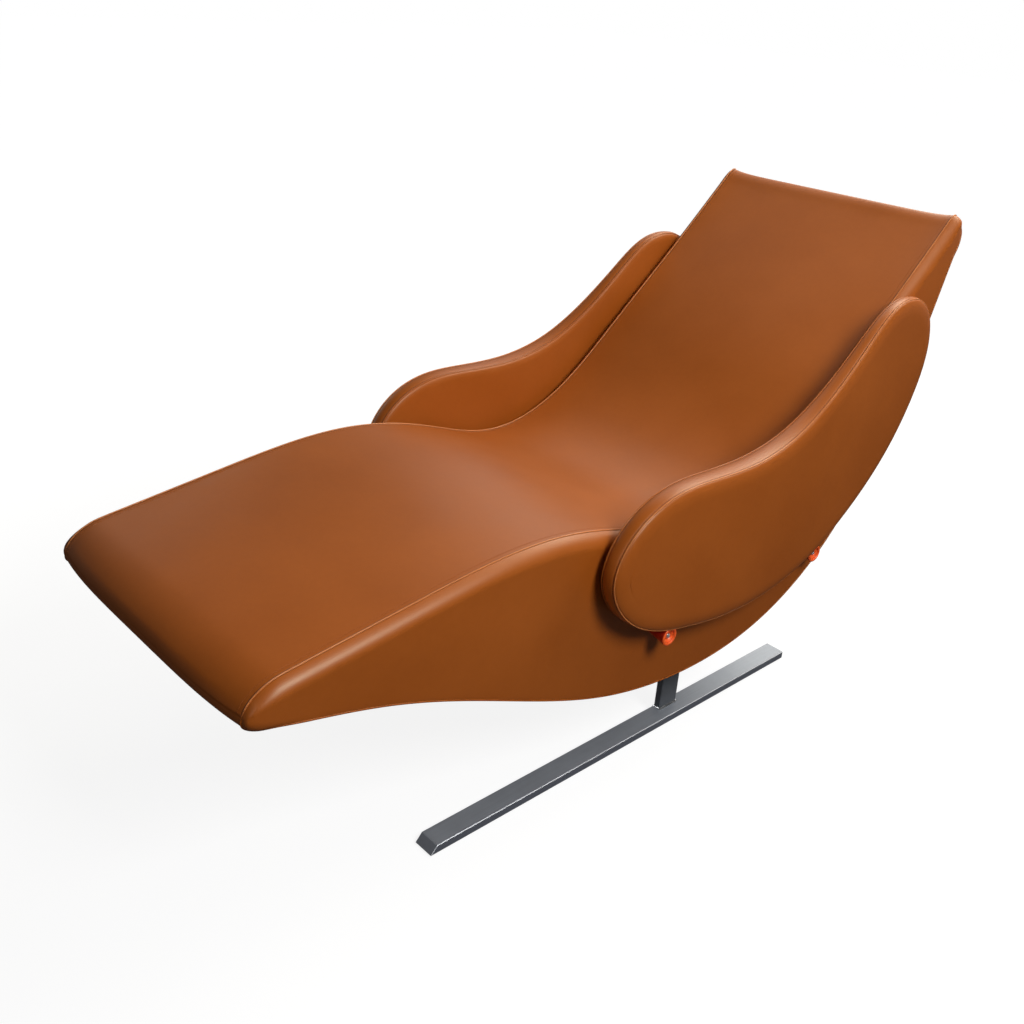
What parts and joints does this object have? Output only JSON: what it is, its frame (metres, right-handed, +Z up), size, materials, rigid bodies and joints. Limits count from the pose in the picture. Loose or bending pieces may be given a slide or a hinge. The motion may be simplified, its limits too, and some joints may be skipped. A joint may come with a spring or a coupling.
{
  "type": "rocking lounger",
  "caption": "Long leather lounger whose padded, curved body with flat side armrests rocks on an axle carried by steel uprights on floor runners.",
  "frame": {"origin": "on the floor, below the middle of the box that holds the lounger at rest", "axes": "+Z up, +Y from the foot end to the head end, +X towards the left hand of a person who lies on it"},
  "size_m": [0.722, 1.7099, 0.9721],
  "materials": {
    "cognac_leather": "semi-gloss full grain leather, cognac brown",
    "underside_leather": "darker plain leather",
    "plywood": "bare birch plywood",
    "webbing": "woven elastic webbing",
    "brushed_steel": "brushed along its length",
    "bright_steel": "bright turned steel",
    "nylon": "matte, off-white",
    "rubber": "matte black",
    "orange_peg": "glossy orange-red lacquer"
  },
  "bodies": {
    "base": {"runner_left": "brushed_steel", "runner_right": "brushed_steel", "upright_left": "brushed_steel", "upright_right": "brushed_steel", "front_glide_left": "rubber", "front_glide_right": "rubber", "rear_glide_left": "rubber", "rear_glide_right": "rubber", "pivot_axle": "bright_steel", "axle_washer_left": "bright_steel", "axle_washer_right": "bright_steel"},
    "rocker": {"lying_pad": "cognac_leather", "side_panel_left": "cognac_leather", "side_panel_right": "cognac_leather", "arm_pad_left": "cognac_leather", "arm_pad_right": "cognac_leather", "underside_cover": "underside_leather", "arm_board_left": "plywood", "arm_board_right": "plywood", "side_frame_left": "plywood", "side_frame_right": "plywood", "foot_rail": "plywood", "knee_rail": "plywood", "thigh_rail": "plywood", "lumbar_rail": "plywood", "back_rail": "plywood", "head_rail": "plywood", "webbing_strap_1": "webbing", "webbing_strap_2": "webbing", "webbing_strap_3": "webbing", "webbing_strap_4": "webbing", "webbing_strap_5": "webbing", "webbing_strap_6": "webbing", "webbing_strap_7": "webbing", "webbing_strap_8": "webbing", "webbing_strap_9": "webbing", "webbing_strap_10": "webbing", "arm_stud_front_left": "bright_steel", "arm_stud_front_right": "bright_steel", "arm_stud_rear_left": "bright_steel", "arm_stud_rear_right": "bright_steel", "front_peg_left": "orange_peg", "front_peg_right": "orange_peg", "rear_peg_left": "orange_peg", "rear_peg_right": "orange_peg", "front_peg_screw_left": "bright_steel", "front_peg_screw_right": "bright_steel", "rear_peg_screw_left": "bright_steel", "rear_peg_screw_right": "bright_steel", "axle_bush_left": "nylon", "axle_bush_right": "nylon", "front_stop_left": "rubber", "front_stop_right": "rubber", "rear_stop_left": "rubber", "rear_stop_right": "rubber"}
  },
  "joints": [
    {"name": "rock", "type": "hinge", "parent": "base", "child": "rocker", "pos_m": [0, 0.1485, 0.27], "axis": [-1, 0, 0], "range_deg": [-10, 15]}
  ]
}
